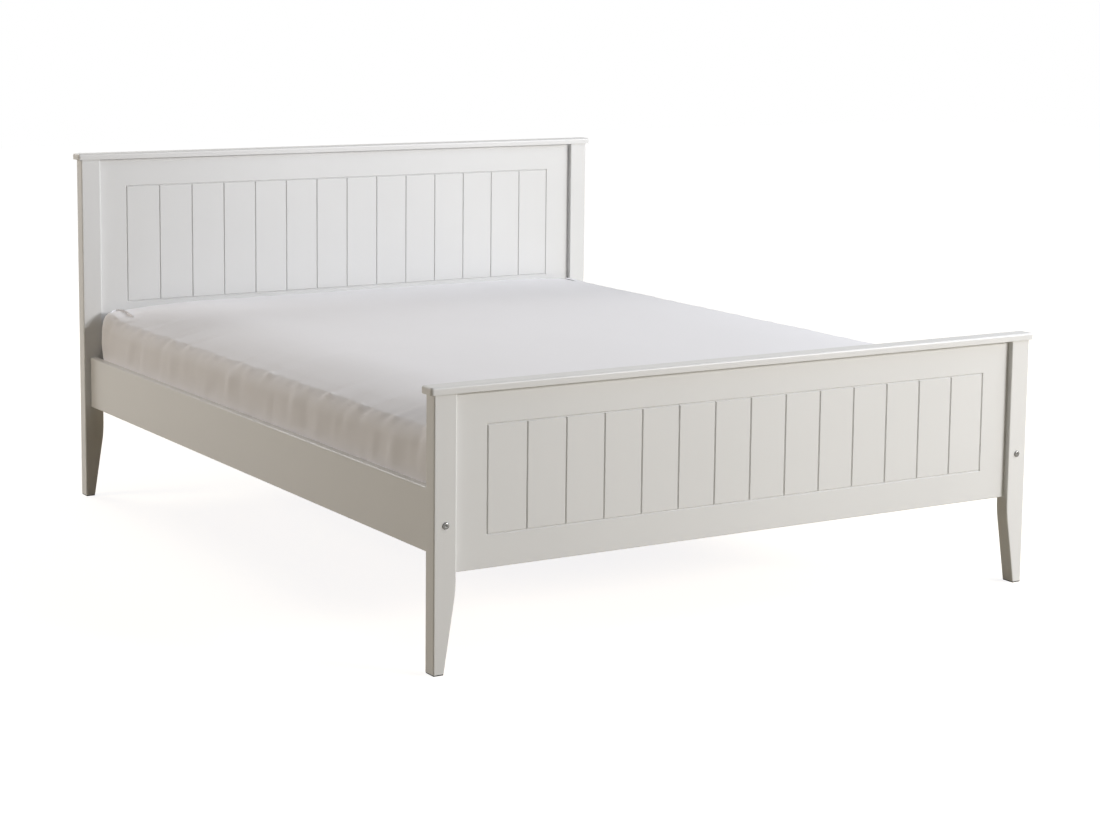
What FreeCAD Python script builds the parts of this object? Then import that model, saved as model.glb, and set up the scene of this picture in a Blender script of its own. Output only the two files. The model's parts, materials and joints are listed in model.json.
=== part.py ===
import FreeCAD, Part
import math
import os
from collections import namedtuple
from FreeCAD import Vector

# Double bed of painted wood with a mattress, in millimetres.
# +X is to the right seen from the foot end, +Y runs from foot to head and +Z is up.
# The origin is on the floor, under the middle of the bed.

# Mattress and fitted sheet
mattress_width = 1600.0
mattress_length = 2000.0
mattress_height = 210.0
mattress_crown = 16.0            # rise of the top between its edges
mattress_belly = 3.0             # swell of each side between its top and bottom edges
mattress_draw = 4.0              # how far the long sides pull in between the corners
mattress_top_radius = 60.0
mattress_bottom_radius = 20.0
sheet_thickness = 1.0
sheet_slack = 0.3                # air between the sheet and the mattress
sheet_hem = 90.0                 # width of the hem turned under the mattress
mattress_side_gap = 3.0          # room between mattress and side rail
mattress_end_gap = 12.0          # room between mattress and posts

# Posts, which run down into legs tapered on the inner side
post_width = 56.0
post_depth = 38.0
head_post_height = 968.0
foot_post_height = 616.0
post_edge_radius = 3.5
leg_bottom_width = 27.0
leg_taper_height = 185.0         # where the inner side of the leg starts to slope
leg_taper_radius = 320.0         # easing of that bend
glide_thickness = 3.0
glide_inset = 1.5

# Panels with routed V-grooves, held by tongues in the posts
panel_thickness = 16.0
panel_recess = 13.0              # panel's face behind the posts' faces
head_panel_bottom = 240.0
foot_panel_bottom = 221.0
panel_edge_radius = 2.0
strip_count = 14
groove_width = 5.0
groove_depth = 3.0
groove_side_border = 83.0
head_groove_top_border = 80.0
head_groove_height = 332.0
foot_groove_top_border = 77.0
foot_groove_height = 243.0
tongue_thickness = 6.0
tongue_length = 10.0             # part of a panel that is in the post
tongue_shoulder = 20.0           # panel's bottom to the lower end of its tongues

# Caps, held by tenons of the posts and by a loose tongue in the panel
cap_thickness = 17.0
cap_face_lip = 5.0
cap_end_lip = 10.0
cap_corner_radius = 7.0
cap_top_radius = 5.0
cap_tongue_height = 16.0
cap_tongue_rise = 8.0            # part of the tongue that is in the cap
cap_tongue_inset = 60.0          # post's inner face to the tongue's end
post_tenon_width = 30.0
post_tenon_depth = 18.0
post_tenon_height = 9.0

# Side rails, which end in stub tenons, and slat ledges
rail_bottom = 260.0
rail_height = 143.0
rail_thickness = 22.0
rail_inset = 18.0                # rail's outer face behind the posts' outer face
rail_top_radius = 4.0
rail_bottom_radius = 2.5
rail_tenon_thickness = 12.0
rail_tenon_height = 90.0
rail_tenon_length = 12.0
ledge_raise = 17.0               # ledge's underside above the rail's
ledge_width = 30.0
ledge_height = 30.0
ledge_end_gap = 20.0
ledge_chamfer = 2.0

# Slats and webbing
slat_count = 15
slat_width = 70.0
slat_thickness = 18.0
slat_chamfer = 2.5
slat_side_gap = 3.0
slat_end_gap = 10.0              # ledge left free beyond the first and last slat
strap_width = 25.0
strap_thickness = 1.0
strap_inset = 240.0

# Centre beam, the cleats under its ends and its leg
beam_width = 70.0
beam_height = 42.0
beam_chamfer = 2.5
beam_end_gap = 0.5
cleat_cheek = 22.0               # thickness of each cheek beside the beam
cleat_rise = 30.0                # height of those cheeks
cleat_floor = 20.0               # thickness under the beam
cleat_depth = 40.0
cleat_slack = 0.3                # room between each cheek and the beam
centre_leg_width = 45.0
centre_leg_chamfer = 2.5
centre_foot_diameter = 40.0
centre_foot_thickness = 8.0
stud_diameter = 8.0
foot_stud_length = 30.0
leg_stud_length = 64.0
leg_stud_rise = 30.0             # part of the leg's stud that is in the beam

# Rail bolts and barrel nuts
bolt_height = 70.0               # above the rail's underside
bolt_diameter = 6.0
bolt_head_diameter = 16.0
bolt_head_height = 3.2
bolt_socket_width = 5.0          # across the flats
bolt_socket_depth = 2.4
bolt_socket_sides = 6
bolt_past_nut = 4.0
nut_diameter = 10.0
nut_cover = 3.0                  # wood between each end of the nut and the rail's faces
nut_setback = 32.0               # rail's shoulder to the middle of the nut

# Room and cutting
hole_slack = 0.1                 # room round each bolt, stud, tongue and tenon
end_gap = 0.5                    # air at the end of each bolt, stud, tongue and tenon
cut_overrun = 1.0                # how far cutting shapes pass the faces they open

# Faces that the pieces share
rail_inner = mattress_width / 2 + mattress_side_gap
rail_outer = rail_inner + rail_thickness
post_outer = rail_outer + rail_inset
post_inner = post_outer - post_width
post_face = mattress_length / 2 + mattress_end_gap
post_back = post_face + post_depth
bolt_x = rail_inner + rail_thickness / 2
bolt_z = rail_bottom + bolt_height
ledge_bottom = rail_bottom + ledge_raise
ledge_inner = rail_inner - ledge_width
ledge_reach = post_face - ledge_end_gap
slat_bottom = ledge_bottom + ledge_height
slat_top = slat_bottom + slat_thickness
slat_reach = ledge_reach - slat_end_gap - slat_width / 2
beam_bottom = slat_bottom - beam_height
mattress_bottom = slat_top + sheet_thickness + sheet_slack
bolt_length = post_depth + nut_setback + nut_diameter / 2 + bolt_past_nut

# Headboard and footboard: front is the y of the posts' faces towards the foot end,
# and into is the way along Y from a rail's end into the post.
Board = namedtuple("Board", "front into height panel_bottom groove_top groove_height")
boards = {
    "head": Board(post_face, 1, head_post_height, head_panel_bottom,
                  head_post_height - head_groove_top_border, head_groove_height),
    "foot": Board(-post_back, -1, foot_post_height, foot_panel_bottom,
                  foot_post_height - foot_groove_top_border, foot_groove_height),
}

AXES = {"x": Vector(1, 0, 0), "y": Vector(0, 1, 0), "z": Vector(0, 0, 1)}
SIDES = (-1, 1)
steep_share = 0.5                # slope past which an edge counts as upright


# Shapes that several pieces are made of

def outline(corners, cuts, rounded=True):
    """Closed flat wire through the corners, each rounded by its radius or chamfered by its reach."""
    bends = []
    for i, (corner, cut) in enumerate(zip(corners, cuts)):
        back = (corners[i - 1] - corner).normalize()
        ahead = (corners[(i + 1) % len(corners)] - corner).normalize()
        half = back.getAngle(ahead) / 2
        reach = cut / math.tan(half)
        middle = corner + (back + ahead).normalize() * (cut / math.sin(half) - cut)
        bends.append((corner + back * reach, middle, corner + ahead * reach))
    edges = []
    for i, (first, middle, last) in enumerate(bends):
        if cuts[i] and rounded:
            edges.append(Part.Arc(first, middle, last).toShape())
        elif cuts[i]:
            edges.append(Part.LineSegment(first, last).toShape())
        edges.append(Part.LineSegment(last, bends[(i + 1) % len(bends)][0]).toShape())
    return Part.Wire(edges)


def bar(low, high, cuts, along, rounded=True):
    """Straight bar from its low to its high corner, with its four long edges rounded or chamfered."""
    span = high - low
    run = AXES[along] * span.dot(AXES[along])
    first, second = [axis * span.dot(axis) for name, axis in AXES.items() if name != along]
    corners = [low, low + first, low + first + second, low + second]
    return Part.Face(outline(corners, cuts, rounded)).extrude(run)


def block(centre, half):
    """Plain block about its centre, from its half lengths."""
    return bar(centre - half, centre + half, [0] * 4, "z")


def mirrored(shape):
    """The same piece on the other side of the bed."""
    return shape.mirror(Vector(), AXES["x"])


def panel_middle(board):
    """The y of the middle of the panel's thickness."""
    return board.front + panel_recess + panel_thickness / 2


def inner_face(board):
    """The y of the panel's face towards the mattress."""
    return panel_middle(board) - board.into * panel_thickness / 2


# Joints between the boards, each with room for its socket

def panel_tongue(board, room, gap):
    """Tongue along both upright edges of the panel, as one block through it."""
    low = board.panel_bottom + tongue_shoulder - gap
    half = Vector(post_inner + tongue_length + gap, tongue_thickness / 2 + room, (board.height - low) / 2)
    return block(Vector(0, panel_middle(board), low + half.z), half)


def cap_tongue(board, room, gap):
    """Loose strip, half in the panel's upper edge and half in the cap."""
    half = Vector(post_inner - cap_tongue_inset + gap, tongue_thickness / 2 + room, cap_tongue_height / 2 + gap)
    middle = board.height + cap_tongue_rise - cap_tongue_height / 2
    return block(Vector(0, panel_middle(board), middle), half)


def post_tenon(board, room, gap):
    """Tenon on the right-hand post's top, which enters the cap."""
    half = Vector(post_tenon_width / 2 + room, post_tenon_depth / 2 + room, post_tenon_height / 2 + gap)
    middle = board.height + post_tenon_height / 2
    return block(Vector(post_outer - post_width / 2, board.front + post_depth / 2, middle), half)


def rail_tenon(board, room, gap):
    """Stub tenon on the right-hand rail's end, which enters the post."""
    length = rail_tenon_length + gap
    half = Vector(rail_tenon_thickness / 2 + room, length / 2, rail_tenon_height / 2 + room)
    return block(Vector(bolt_x, board.into * (post_face + length / 2), bolt_z), half)


def joined(blank, *pieces):
    """Pieces glued or worked into one, without seams on shared faces."""
    return blank.fuse(list(pieces)).removeSplitter()


# Headboard and footboard

def post(board):
    """Right-hand post with its sockets. The leg's inner side slopes in towards the floor."""
    y = board.front
    corners = [
        Vector(post_outer, y, glide_thickness),
        Vector(post_outer, y, board.height),
        Vector(post_inner, y, board.height),
        Vector(post_inner, y, leg_taper_height),
        Vector(post_outer - leg_bottom_width, y, glide_thickness),
    ]
    blank = Part.Face(outline(corners, [0, 0, 0, leg_taper_radius, 0])).extrude(AXES["y"] * post_depth)
    upright = [edge for edge in blank.Edges
               if abs(edge.tangentAt((edge.FirstParameter + edge.LastParameter) / 2).z) > steep_share]
    blank = blank.makeFillet(post_edge_radius, upright)
    start = Vector(bolt_x, board.into * (post_face - cut_overrun), bolt_z)
    bolt_hole = Part.makeCylinder(bolt_diameter / 2 + hole_slack, post_depth + 2 * cut_overrun,
                                  start, AXES["y"] * board.into)
    sockets = [panel_tongue(board, hole_slack, end_gap), rail_tenon(board, hole_slack, end_gap), bolt_hole]
    return joined(blank.cut(sockets), post_tenon(board, 0, 0))


def glide(board):
    """Right-hand glide: a plate under the leg."""
    half = Vector(leg_bottom_width / 2 - glide_inset, post_depth / 2 - glide_inset, glide_thickness / 2)
    return block(Vector(post_outer - leg_bottom_width / 2, board.front + post_depth / 2, half.z), half)


def v_groove(start, end, outward, mitred):
    """V-shaped cutter along the face, from point to point, with mitred or square ends."""
    half = groove_width / 2 * (groove_depth + cut_overrun) / groove_depth
    lip = outward * half
    lift = AXES["y"] * -cut_overrun
    slant = (end - start).normalize() * (half if mitred else 0)
    outer_start = start + lift + lip - slant
    outer_end = end + lift + lip + slant
    inner_start = start + lift - lip + slant
    inner_end = end + lift - lip - slant
    tip_start = start + AXES["y"] * groove_depth
    tip_end = end + AXES["y"] * groove_depth
    loops = [
        [outer_start, outer_end, inner_end, inner_start],
        [outer_start, tip_start, tip_end, outer_end],
        [inner_start, inner_end, tip_end, tip_start],
        [outer_start, inner_start, tip_start],
        [outer_end, tip_end, inner_end],
    ]
    return Part.Solid(Part.Shell([Part.Face(Part.makePolygon(loop + loop[:1])) for loop in loops]))


def panel(board):
    """Board between the posts, its grooves routed as a closed rectangle and uprights inside it."""
    face = board.front + panel_recess
    low = Vector(-post_inner, face, board.panel_bottom)
    high = Vector(post_inner, face + panel_thickness, board.height)
    blank = bar(low, high, [panel_edge_radius, panel_edge_radius, 0, 0], "x")
    half = post_inner - groove_side_border
    ring = [Vector(-half, face, board.groove_top - board.groove_height),
            Vector(half, face, board.groove_top - board.groove_height),
            Vector(half, face, board.groove_top),
            Vector(-half, face, board.groove_top)]
    outward = [-AXES["z"], AXES["x"], AXES["z"], -AXES["x"]]
    cutters = [v_groove(ring[i], ring[(i + 1) % len(ring)], outward[i], True) for i in range(len(ring))]
    for i in range(1, strip_count):
        across = AXES["x"] * (2 * half * i / strip_count)
        cutters.append(v_groove(ring[0] + across, ring[-1] + across, AXES["x"], False))
    cutters.append(cap_tongue(board, hole_slack, end_gap))
    return joined(blank, panel_tongue(board, 0, 0)).cut(cutters)


def cap(board):
    """Flat board on the posts and panel, with rounded corners and a rounded upper edge."""
    half = Vector(post_outer + cap_end_lip, post_depth / 2 + cap_face_lip, 0)
    centre = Vector(0, board.front + post_depth / 2, board.height)
    top = AXES["z"] * cap_thickness
    blank = bar(centre - half, centre + half + top, [cap_corner_radius] * 4, "z")
    upper = [edge for edge in blank.Edges if edge.BoundBox.ZMin > board.height + cap_thickness / 2]
    blank = blank.makeFillet(cap_top_radius, upper)
    mortise = post_tenon(board, hole_slack, end_gap)
    return blank.cut([mortise, mirrored(mortise), cap_tongue(board, hole_slack, end_gap)])


# Side rails with their bolts

def rail_bolt(side, into):
    """Bolt with a round head on the post's outer face and a socket in the head."""
    inward = AXES["y"] * -into
    seat = Vector(side * bolt_x, into * post_back, bolt_z)
    crown = seat - inward * bolt_head_height
    head = Part.makeCylinder(bolt_head_diameter / 2, bolt_head_height, crown, inward)
    shank = Part.makeCylinder(bolt_diameter / 2, bolt_length, seat, inward)
    turn = 2 * math.pi / bolt_socket_sides
    reach = bolt_socket_width / 2 / math.cos(turn / 2)
    loop = [crown + Vector(reach * math.cos(i * turn), 0, reach * math.sin(i * turn))
            for i in range(bolt_socket_sides)]
    socket = Part.Face(Part.makePolygon(loop + loop[:1])).extrude(inward * bolt_socket_depth)
    return head.fuse(shank).cut(socket)


def nut_centre(side, into):
    return Vector(side * bolt_x, into * (post_face - nut_setback), bolt_z)


def barrel_nut(side, into):
    """Cross dowel of steel in the rail, bored for the bolt."""
    length = rail_thickness - 2 * nut_cover
    centre = nut_centre(side, into)
    blank = Part.makeCylinder(nut_diameter / 2, length, centre - AXES["x"] * (length / 2), AXES["x"])
    bore = Part.makeCylinder(bolt_diameter / 2 + hole_slack, nut_diameter + 2 * cut_overrun,
                             centre - AXES["y"] * (nut_diameter / 2 + cut_overrun), AXES["y"])
    return blank.cut(bore)


def side_rail():
    """Right-hand rail with a tenon at each end, drilled for the bolts and from inside for the nuts."""
    low = Vector(rail_inner, -post_face, rail_bottom)
    high = Vector(rail_outer, post_face, rail_bottom + rail_height)
    cuts = [rail_bottom_radius, rail_bottom_radius, rail_top_radius, rail_top_radius]
    blank = joined(bar(low, high, cuts, "y"), *[rail_tenon(board, 0, 0) for board in boards.values()])
    depth = rail_tenon_length + nut_setback + nut_diameter / 2 + bolt_past_nut + cut_overrun + end_gap
    holes = []
    for board in boards.values():
        outside = Vector(bolt_x, board.into * (post_face + rail_tenon_length + cut_overrun), bolt_z)
        holes.append(Part.makeCylinder(bolt_diameter / 2 + hole_slack, depth, outside, AXES["y"] * -board.into))
        mouth = nut_centre(1, board.into) - AXES["x"] * (rail_thickness / 2 + cut_overrun)
        holes.append(Part.makeCylinder(nut_diameter / 2 + hole_slack,
                                       rail_thickness - nut_cover + cut_overrun, mouth, AXES["x"]))
    return blank.cut(holes)


def ledge():
    """Right-hand strip glued to the rail's inner face, which carries the slats' ends."""
    low = Vector(ledge_inner, -ledge_reach, ledge_bottom)
    high = Vector(rail_inner, ledge_reach, slat_bottom)
    return bar(low, high, [ledge_chamfer, 0, 0, ledge_chamfer], "y", rounded=False)


# Slats, beam and centre leg

def slat(y):
    half = Vector(rail_inner - slat_side_gap, slat_width / 2, 0)
    low = Vector(0, y, slat_bottom) - half
    high = Vector(0, y, slat_top) + half
    return bar(low, high, [slat_chamfer] * 4, "x", rounded=False)


def strap():
    """Right-hand webbing strap under the slats, which keeps them at their spacing."""
    half = Vector(strap_width / 2, slat_reach + slat_width / 2, strap_thickness / 2)
    return block(Vector(rail_inner - strap_inset, 0, slat_bottom - half.z), half)


def beam():
    low = Vector(-beam_width / 2, inner_face(boards["foot"]) + beam_end_gap, beam_bottom)
    high = Vector(beam_width / 2, inner_face(boards["head"]) - beam_end_gap, slat_bottom)
    blank = bar(low, high, [beam_chamfer] * 4, "y", rounded=False)
    hole = Part.makeCylinder(stud_diameter / 2 + hole_slack, leg_stud_rise + cut_overrun + end_gap,
                             Vector(0, 0, beam_bottom - cut_overrun), AXES["z"])
    return blank.cut(hole)


def cleat(board):
    """Wooden block glued to the panel, notched for the beam's end."""
    half = Vector(beam_width / 2 + cleat_slack + cleat_cheek, cleat_depth / 2, (cleat_floor + cleat_rise) / 2)
    middle = Vector(0, inner_face(board) - board.into * cleat_depth / 2, beam_bottom - cleat_floor + half.z)
    notch_half = Vector(beam_width / 2 + cleat_slack, cleat_depth, cleat_rise)
    notch = block(Vector(0, middle.y, beam_bottom + cleat_rise), notch_half)
    return block(middle, half).cut(notch)


def centre_leg():
    half = Vector(centre_leg_width / 2, centre_leg_width / 2, 0)
    low = Vector(0, 0, centre_foot_thickness) - half
    high = Vector(0, 0, beam_bottom) + half
    radius = stud_diameter / 2 + hole_slack
    upper = Part.makeCylinder(radius, leg_stud_length - leg_stud_rise + end_gap + cut_overrun,
                              Vector(0, 0, beam_bottom + cut_overrun), -AXES["z"])
    lower = Part.makeCylinder(radius, foot_stud_length + end_gap + cut_overrun,
                              Vector(0, 0, centre_foot_thickness - cut_overrun), AXES["z"])
    return bar(low, high, [centre_leg_chamfer] * 4, "z", rounded=False).cut([upper, lower])


def centre_leg_stud():
    start = Vector(0, 0, beam_bottom + leg_stud_rise - leg_stud_length)
    return Part.makeCylinder(stud_diameter / 2, leg_stud_length, start, AXES["z"])


def centre_leg_foot():
    """Round foot under the centre leg, with its stud screwed up into the leg."""
    disc = Part.makeCylinder(centre_foot_diameter / 2, centre_foot_thickness)
    return disc.fuse(Part.makeCylinder(stud_diameter / 2, centre_foot_thickness + foot_stud_length))


# Mattress and sheet

end_angles = (0, 30, 60, 90)     # stations round the rounded ends, in degrees
middle_shares = (-0.5, 0, 0.5)   # stations between the ends, as shares of the half length
end_crown_share = 0.8            # crown at the ends, as a share of the crown in the middle
tight_corner_share = 0.75        # how much of an edge's rounding is gone at the end faces
quarter_share = 1 - math.sqrt(0.5)


def soft_section(y, half_width, bottom, top, bottom_radius, top_radius, crown):
    """Upright outline across the mattress: flat underside, bellied sides and crowned top."""
    side_bottom = bottom + bottom_radius
    side_top = top - top_radius
    right = [
        ((half_width - bottom_radius, bottom),
         (half_width - bottom_radius * quarter_share, bottom + bottom_radius * quarter_share),
         (half_width, side_bottom)),
        ((half_width, side_bottom),
         (half_width + mattress_belly, (side_bottom + side_top) / 2),
         (half_width, side_top)),
        ((half_width, side_top),
         (half_width - top_radius * quarter_share, top - top_radius * quarter_share),
         (half_width - top_radius, top)),
    ]
    left = [[(-x, z) for x, z in reversed(arc)] for arc in reversed(right)]
    over = (right[-1][-1], (0, top + crown), left[0][0])
    arcs = right + [over] + left
    edges = [Part.Arc(*[Vector(x, y, z) for x, z in arc]).toShape() for arc in arcs]
    ends = [Vector(x, y, z) for x, z in (left[-1][-1], right[0][0])]
    edges.append(Part.LineSegment(*ends).toShape())
    return Part.Wire(edges)


def soft_form(grow):
    """The mattress's form, larger by grow all round. Its ends are rounded like its top edges,
    its long sides pull in and its top rises towards the middle of its length."""
    reach = mattress_length / 2 + grow
    top_radius = mattress_top_radius + grow
    bottom_radius = mattress_bottom_radius + grow
    stations = [(reach * share, 0) for share in middle_shares]
    for angle in end_angles:
        back = top_radius * (1 - math.cos(math.radians(angle)))
        inset_share = 1 - math.sin(math.radians(angle))
        stations += [(end * (reach - back), inset_share) for end in SIDES]
    sections = []
    for y, inset_share in sorted(stations):
        along = (y / reach) ** 2
        draw = mattress_draw * (1 - along)
        half_width = mattress_width / 2 - mattress_belly - draw + grow - top_radius * inset_share
        kept = 1 - tight_corner_share * inset_share
        sections.append(soft_section(
            y, half_width,
            mattress_bottom - grow + bottom_radius * inset_share,
            mattress_bottom + mattress_height + grow - top_radius * inset_share,
            bottom_radius * kept, top_radius * kept,
            mattress_crown * (1 - (1 - end_crown_share) * along)))
    return Part.makeLoft(sections, True, True)


def fitted_sheet():
    """Thin cover over the mattress, its hem turned under and open inside the hem."""
    shell = soft_form(sheet_slack + sheet_thickness).cut(soft_form(sheet_slack))
    half = Vector(mattress_width / 2 - sheet_hem, mattress_length / 2 - sheet_hem, 0)
    low = Vector(0, 0, slat_top - cut_overrun) - half
    high = Vector(0, 0, mattress_bottom) + half
    return shell.cut(bar(low, high, [mattress_top_radius] * 4, "z"))


# All pieces by name

nodes = {}
for name, board in boards.items():
    nodes[f"{name}_post_right"] = post(board)
    nodes[f"{name}_post_left"] = mirrored(nodes[f"{name}_post_right"])
    nodes[f"{name}_panel"] = panel(board)
    nodes[f"{name}_cap"] = cap(board)
    nodes[f"{name}_cap_tongue"] = cap_tongue(board, 0, 0)
    nodes[f"{name}_beam_cleat"] = cleat(board)

nodes["side_rail_right"] = side_rail()
nodes["side_rail_left"] = mirrored(nodes["side_rail_right"])
nodes["slat_ledge_right"] = ledge()
nodes["slat_ledge_left"] = mirrored(nodes["slat_ledge_right"])
nodes["slat_strap_right"] = strap()
nodes["slat_strap_left"] = mirrored(nodes["slat_strap_right"])
nodes["centre_beam"] = beam()
nodes["centre_leg"] = centre_leg()
nodes["centre_leg_stud"] = centre_leg_stud()
nodes["centre_leg_foot"] = centre_leg_foot()
nodes["mattress"] = soft_form(0)
nodes["fitted_sheet"] = fitted_sheet()

slat_step = 2 * slat_reach / (slat_count - 1)
for i in range(slat_count):
    nodes[f"slat_{i + 1:02d}"] = slat(i * slat_step - slat_reach)

corners_of_bed = [(side, board.into) for side in SIDES for board in boards.values()]
right_glides = [glide(board) for board in boards.values()]
nodes["leg_glides"] = Part.makeCompound(right_glides + [mirrored(piece) for piece in right_glides])
nodes["rail_bolts"] = Part.makeCompound([rail_bolt(*corner) for corner in corners_of_bed])
nodes["barrel_nuts"] = Part.makeCompound([barrel_nut(*corner) for corner in corners_of_bed])

os.makedirs("parts", exist_ok=True)
for name, shape in nodes.items():
    shape.exportStep(f"parts/{name}.step")
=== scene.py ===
import json
import math

import bpy
import numpy as np
from mathutils import Matrix, Vector


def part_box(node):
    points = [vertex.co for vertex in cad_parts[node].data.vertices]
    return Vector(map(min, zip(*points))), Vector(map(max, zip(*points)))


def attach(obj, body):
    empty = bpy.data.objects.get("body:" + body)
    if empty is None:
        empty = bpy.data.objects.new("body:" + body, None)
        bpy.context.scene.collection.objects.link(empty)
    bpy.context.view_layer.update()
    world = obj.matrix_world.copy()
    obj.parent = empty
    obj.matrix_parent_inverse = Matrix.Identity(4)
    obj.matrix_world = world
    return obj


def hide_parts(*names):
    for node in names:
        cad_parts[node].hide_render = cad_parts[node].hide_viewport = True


# A white painted double bed with grooved head and foot boards, and a mattress in a fitted sheet.
# Lengths are in metres, +X to the right seen from the foot end, +Y from foot to head, +Z up.

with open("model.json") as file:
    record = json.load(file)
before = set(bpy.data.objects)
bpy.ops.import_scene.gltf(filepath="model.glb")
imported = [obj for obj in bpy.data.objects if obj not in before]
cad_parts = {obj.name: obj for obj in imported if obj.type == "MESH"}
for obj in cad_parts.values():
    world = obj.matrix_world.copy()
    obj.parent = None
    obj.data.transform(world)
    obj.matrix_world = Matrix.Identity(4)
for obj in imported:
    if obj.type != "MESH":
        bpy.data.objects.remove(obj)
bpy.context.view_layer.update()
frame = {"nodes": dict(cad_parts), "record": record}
MM = 0.001
SEED = 7


# Materials


def linear(hex_colour):
    """Turns an sRGB hex colour into linear red, green, blue and alpha."""
    srgb = np.array([int(hex_colour[i:i + 2], 16) for i in (1, 3, 5)]) / 255
    low, high = srgb / 12.92, ((srgb + 0.055) / 1.055) ** 2.4
    return (*np.where(srgb <= 0.04045, low, high), 1.0)


def add(tree, kind, inputs=None, **settings):
    """Adds a shader node. Settings are its own properties; inputs are values or sockets that feed it."""
    made = tree.nodes.new("ShaderNode" + kind)
    for name, value in settings.items():
        setattr(made, name, value)
    for name, value in (inputs or {}).items():
        if isinstance(value, bpy.types.NodeSocket):
            tree.links.new(value, made.inputs[name])
        else:
            made.inputs[name].default_value = value
    return made


def spots(size_mm):
    """Noise scale whose spots are about this many millimetres wide."""
    return 1 / (size_mm * MM)


def bands(size_mm):
    """Wave scale whose bands repeat every so many millimetres; a wave of scale 1 repeats in pi/10 metres."""
    return math.pi / 10 / (size_mm * MM)


def new_material(name):
    """An empty node material and its tree."""
    material = bpy.data.materials.new(name)
    material.use_nodes = True
    material.node_tree.nodes.clear()
    return material, material.node_tree


def two_tone(tree, share, first, second, start=0.0):
    """Colour that goes from the first to the second while a share goes from the start to 1."""
    ramp = add(tree, "ValToRGB", {"Fac": share})
    ends = ramp.color_ramp.elements
    ends[0].position = start
    ends[0].color = linear(first)
    ends[1].color = linear(second)
    return ramp.outputs["Color"]


def finish_surface(tree, inputs, relief, depth_mm):
    """Ends a material in a Principled surface whose bump is the relief, that many millimetres deep."""
    bump = add(tree, "Bump", {"Height": relief, "Distance": depth_mm * MM, "Strength": 1.0})
    surface = add(tree, "BsdfPrincipled", {**inputs, "Normal": bump.outputs["Normal"]})
    add(tree, "OutputMaterial", {"Surface": surface.outputs["BSDF"]})


def stretched_coordinates(tree, along, squeeze):
    """Object coordinates squeezed along one axis, so that patterns run long in that direction."""
    place = add(tree, "TexCoord").outputs["Object"]
    scale = [1.0, 1.0, 1.0]
    scale["XYZ".index(along)] = squeeze
    return add(tree, "Mapping", {"Vector": place, "Scale": scale}).outputs["Vector"]


def satin_paint(along):
    """Satin white lacquer sprayed on planed board. It shows as an even, clean white with a soft sheen,
    a trace of the board's grain along its length and a fine spray texture. Real spray texture is
    under 1 mm across; it is drawn 4 mm wide so that it shows."""
    material, tree = new_material(f"satin_white_lacquer_{along}")
    place = add(tree, "TexCoord").outputs["Object"]
    grain_place = stretched_coordinates(tree, along, 0.03)
    cloud = add(tree, "TexNoise", {"Vector": place, "Scale": spots(350), "Detail": 2.0})
    grain = add(tree, "TexNoise", {"Vector": grain_place, "Scale": spots(9), "Detail": 4.0, "Roughness": 0.6})
    spray = add(tree, "TexNoise", {"Vector": place, "Scale": spots(4), "Detail": 2.0})
    tint = two_tone(tree, cloud.outputs["Fac"], "#DADAD9", "#E0E0DF")
    sheen = add(tree, "MapRange", {"Value": grain.outputs["Fac"], "To Min": 0.28, "To Max": 0.38})
    relief = add(tree, "Math", {0: grain.outputs["Fac"], 1: 0.5, 2: spray.outputs["Fac"]},
                 operation="MULTIPLY_ADD")
    finish_surface(tree, {
        "Base Color": tint,
        "Roughness": sheen.outputs["Result"],
        "IOR": 1.5,
    }, relief.outputs["Value"], 0.05)
    return material


def bare_pine(along):
    """Planed, unpainted pine. It shows pale yellow wood with darker late-wood lines about 7 mm apart
    along the board, a few brown knots and a dry, matt surface."""
    material, tree = new_material(f"planed_pine_{along}")
    place = add(tree, "TexCoord").outputs["Object"]
    grain_place = stretched_coordinates(tree, along, 0.06)
    sway = add(tree, "TexNoise", {"Vector": grain_place, "Scale": spots(60), "Detail": 2.0})
    swayed = add(tree, "VectorMath", {0: sway.outputs["Color"], 1: (0.03, 0.03, 0.03), 2: grain_place},
                 operation="MULTIPLY_ADD")
    direction = {"X": "Y", "Y": "X", "Z": "X"}[along]
    rings = add(tree, "TexWave", {"Vector": swayed.outputs["Vector"], "Scale": bands(7), "Distortion": 1.5,
                                  "Detail": 2.0}, bands_direction=direction, wave_profile="SAW")
    fibre = add(tree, "TexNoise", {"Vector": grain_place, "Scale": spots(2), "Detail": 3.0})
    wood = two_tone(tree, rings.outputs["Fac"], "#E6CB9C", "#CDA46A", start=0.35)
    fibred = add(tree, "Mix", {0: 0.25, 6: wood, 7: fibre.outputs["Color"]},
                 data_type="RGBA", blend_type="SOFT_LIGHT")
    cells = add(tree, "TexVoronoi", {"Vector": stretched_coordinates(tree, along, 0.5), "Scale": spots(170)})
    knot = add(tree, "MapRange", {"Value": cells.outputs["Distance"], "From Min": 0.07, "From Max": 0.04})
    knotted = add(tree, "Mix", {0: knot.outputs["Result"], 6: fibred.outputs[2], 7: linear("#8A5A30")},
                  data_type="RGBA")
    dryness = add(tree, "MapRange", {"Value": fibre.outputs["Fac"], "To Min": 0.55, "To Max": 0.75})
    finish_surface(tree, {
        "Base Color": knotted.outputs[2],
        "Roughness": dryness.outputs["Result"],
        "IOR": 1.5,
    }, fibre.outputs["Fac"], 0.15)
    return material


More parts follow.
